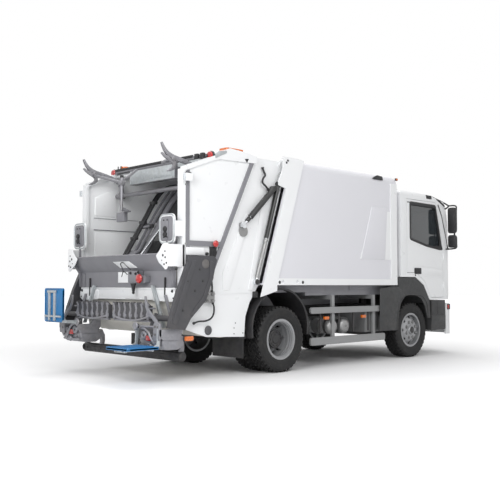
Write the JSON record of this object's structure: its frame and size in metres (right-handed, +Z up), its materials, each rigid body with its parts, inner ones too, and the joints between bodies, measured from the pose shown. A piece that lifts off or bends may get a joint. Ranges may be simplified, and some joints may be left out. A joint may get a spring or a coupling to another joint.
{
  "type": "garbage truck",
  "caption": "Compact rear-loading refuse lorry: white collection body, tilting cab, lifting tailgate with an open hopper, packer, split bin lifter and folding crew steps.",
  "frame": {"origin": "middle of the bounding box in plan, on the ground under the tyres", "axes": "+X forward, towards the cab; +Y to the vehicle's left; +Z up"},
  "size_m": [6.695, 2.77, 2.86],
  "materials": {
    "white_paint": "gloss",
    "frame_grey": "satin",
    "arm_grey": "satin",
    "chassis_grey": "satin",
    "galvanised": "matte",
    "steel": "satin",
    "cast_grey": "matte",
    "cylinder_black": "gloss",
    "rod_chrome": "polished",
    "tyre": "matte",
    "rim_silver": "satin",
    "black_plastic": "matte",
    "dark_plastic": "matte",
    "step_blue": "satin",
    "window_glass": "polished",
    "lamp_clear": "polished",
    "amber_plastic": "polished",
    "red_plastic": "polished",
    "seat_fabric": "matte"
  },
  "bodies": {
    "chassis": {"frame_rails": "chassis_grey", "front_axle": "cast_grey", "rear_axle": "cast_grey", "leaf_springs": "chassis_grey", "engine_block": "cast_grey", "gearbox_shaft": "cast_grey", "body_subframe": "frame_grey", "body_shell": "white_paint", "body_frames": "white_paint", "rear_mudguards": "black_plastic", "side_guards": "galvanised", "side_tanks": "chassis_grey", "front_bumper": "white_paint", "head_lamps": "lamp_clear", "entry_steps": "dark_plastic", "front_arches": "dark_plastic"},
    "cab": {"cab_shell": "white_paint", "windscreen": "window_glass", "cab_seats": "seat_fabric", "dashboard": "dark_plastic", "mirrors": "black_plastic"},
    "door_left": {"cab_door_left": "white_paint", "door_glass_left": "window_glass"},
    "door_right": {"cab_door_right": "white_paint", "door_glass_right": "window_glass"},
    "knuckle_left": {"steering_knuckle_left": "cast_grey"},
    "knuckle_right": {"steering_knuckle_right": "cast_grey"},
    "front_wheel_left": {"front_rim_left": "rim_silver", "front_tyre_left": "tyre"},
    "front_wheel_right": {"front_rim_right": "rim_silver", "front_tyre_right": "tyre"},
    "rear_wheels_left": {"rear_rims_left": "rim_silver", "rear_tyres_left": "tyre"},
    "rear_wheels_right": {"rear_rims_right": "rim_silver", "rear_tyres_right": "tyre"},
    "tailgate": {"tailgate_shell": "white_paint", "hopper_floor": "steel", "hopper_sill": "frame_grey", "rear_posts": "white_paint", "side_strips": "frame_grey", "tailgate_roof": "white_paint", "lid_opener_forks": "arm_grey", "beacons": "amber_plastic", "tail_lamps": "red_plastic", "rear_guard": "arm_grey", "packer_barrels": "cylinder_black"},
    "packer": {"packer_plate": "steel"},
    "blade": {"packer_blade": "steel"},
    "packer_rod_left": {"packer_rod_left": "rod_chrome"},
    "packer_rod_right": {"packer_rod_right": "rod_chrome"},
    "lift_barrel_left": {"lift_barrel_left": "cylinder_black"},
    "lift_barrel_right": {"lift_barrel_right": "cylinder_black"},
    "lift_rod_left": {"lift_rod_left": "rod_chrome"},
    "lift_rod_right": {"lift_rod_right": "rod_chrome"},
    "lifter_left": {"bin_lifter_left": "arm_grey"},
    "lifter_right": {"bin_lifter_right": "arm_grey"},
    "step_left": {"crew_step_left": "step_blue"},
    "step_right": {"crew_step_right": "step_blue"},
    "ejector": {"ejector_plate": "frame_grey"}
  },
  "joints": [
    {"name": "steer_left", "type": "hinge", "parent": "chassis", "child": "knuckle_left", "pos_m": [2.0775, 0.85, 0.433], "axis": [0, 0, 1], "range_deg": [-38, 38]},
    {"name": "steer_right", "type": "hinge", "parent": "chassis", "child": "knuckle_right", "pos_m": [2.0775, -0.85, 0.433], "axis": [0, 0, 1], "range_deg": [-38, 38]},
    {"name": "front_wheel_left_spin", "type": "hinge", "parent": "knuckle_left", "child": "front_wheel_left", "pos_m": [2.0775, 0.9735, 0.433], "axis": [0, 1, 0], "continuous": true},
    {"name": "front_wheel_right_spin", "type": "hinge", "parent": "knuckle_right", "child": "front_wheel_right", "pos_m": [2.0775, -0.9735, 0.433], "axis": [0, 1, 0], "continuous": true},
    {"name": "rear_wheels_left_spin", "type": "hinge", "parent": "chassis", "child": "rear_wheels_left", "pos_m": [-0.9425, 0.851, 0.433], "axis": [0, 1, 0], "continuous": true},
    {"name": "rear_wheels_right_spin", "type": "hinge", "parent": "chassis", "child": "rear_wheels_right", "pos_m": [-0.9425, -0.851, 0.433], "axis": [0, 1, 0], "continuous": true},
    {"name": "cab_tilt", "type": "hinge", "parent": "chassis", "child": "cab", "pos_m": [3.2525, 0, 0.862], "axis": [0, 1, 0], "range_deg": [0, 55]},
    {"name": "door_left_swing", "type": "hinge", "parent": "cab", "child": "door_left", "pos_m": [2.9505, 1.157, 1.7], "axis": [0, 0, -1], "range_deg": [0, 72]},
    {"name": "door_right_swing", "type": "hinge", "parent": "cab", "child": "door_right", "pos_m": [2.9505, -1.157, 1.7], "axis": [0, 0, 1], "range_deg": [0, 72]},
    {"name": "tailgate_lift", "type": "hinge", "parent": "chassis", "child": "tailgate", "pos_m": [-0.8365, 0, 2.812], "axis": [0, 1, 0], "range_deg": [0, 88]},
    {"name": "lift_barrel_left_swing", "type": "hinge", "parent": "chassis", "child": "lift_barrel_left", "pos_m": [-0.9635, 1.086, 2.478], "axis": [0, 1, 0], "range_deg": [0, 101]},
    {"name": "lift_barrel_right_swing", "type": "hinge", "parent": "chassis", "child": "lift_barrel_right", "pos_m": [-0.9635, -1.086, 2.478], "axis": [0, 1, 0], "range_deg": [0, 101]},
    {"name": "lift_rod_left_slide", "type": "slide", "parent": "lift_barrel_left", "child": "lift_rod_left", "axis": [-0.3018, 0, -0.9534], "range_m": [0, 0.366]},
    {"name": "lift_rod_right_slide", "type": "slide", "parent": "lift_barrel_right", "child": "lift_rod_right", "axis": [-0.3018, 0, -0.9534], "range_m": [0, 0.366]},
    {"name": "packer_swing", "type": "hinge", "parent": "tailgate", "child": "packer", "pos_m": [-1.5855, 0, 1.825], "axis": [0, 1, 0], "range_deg": [-20, 10]},
    {"name": "blade_fold", "type": "hinge", "parent": "packer", "child": "blade", "pos_m": [-1.9411, 0, 1.31713], "axis": [0, 1, 0], "range_deg": [0, 40]},
    {"name": "packer_rod_left_slide", "type": "slide", "parent": "tailgate", "child": "packer_rod_left", "axis": [-0.7287, 0, -0.6848], "range_m": [-0.0126, 0.0252]},
    {"name": "packer_rod_right_slide", "type": "slide", "parent": "tailgate", "child": "packer_rod_right", "axis": [-0.7287, 0, -0.6848], "range_m": [-0.0126, 0.0252]},
    {"name": "lifter_left_swing", "type": "hinge", "parent": "tailgate", "child": "lifter_left", "pos_m": [-2.3025, 1.142, 1.395], "axis": [0, 1, 0], "range_deg": [0, 110]},
    {"name": "lifter_right_swing", "type": "hinge", "parent": "tailgate", "child": "lifter_right", "pos_m": [-2.3025, -1.142, 1.395], "axis": [0, 1, 0], "range_deg": [0, 110]},
    {"name": "step_left_fold", "type": "hinge", "parent": "tailgate", "child": "step_left", "pos_m": [-2.9075, 0.865, 0.665], "axis": [0, 1, 0], "range_deg": [-90, 0]},
    {"name": "step_right_fold", "type": "hinge", "parent": "tailgate", "child": "step_right", "pos_m": [-2.9075, -0.865, 0.665], "axis": [0, 1, 0], "range_deg": [0, 90]},
    {"name": "ejector_push", "type": "slide", "parent": "chassis", "child": "ejector", "axis": [-1, 0, 0], "range_m": [0, 2]}
  ],
  "couplings": [
    {"joint": "steer_right", "follows": "steer_left", "ratio": 1},
    {"joint": "lift_barrel_left_swing", "follows": "tailgate_lift", "ratio": 1.143},
    {"joint": "lift_barrel_right_swing", "follows": "tailgate_lift", "ratio": 1.143},
    {"joint": "lift_rod_left_slide", "follows": "tailgate_lift", "m_per_rad": 0.2381},
    {"joint": "lift_rod_right_slide", "follows": "tailgate_lift", "m_per_rad": 0.2381},
    {"joint": "packer_rod_left_slide", "follows": "packer_swing", "m_per_rad": -0.0717},
    {"joint": "packer_rod_right_slide", "follows": "packer_swing", "m_per_rad": -0.0717}
  ]
}
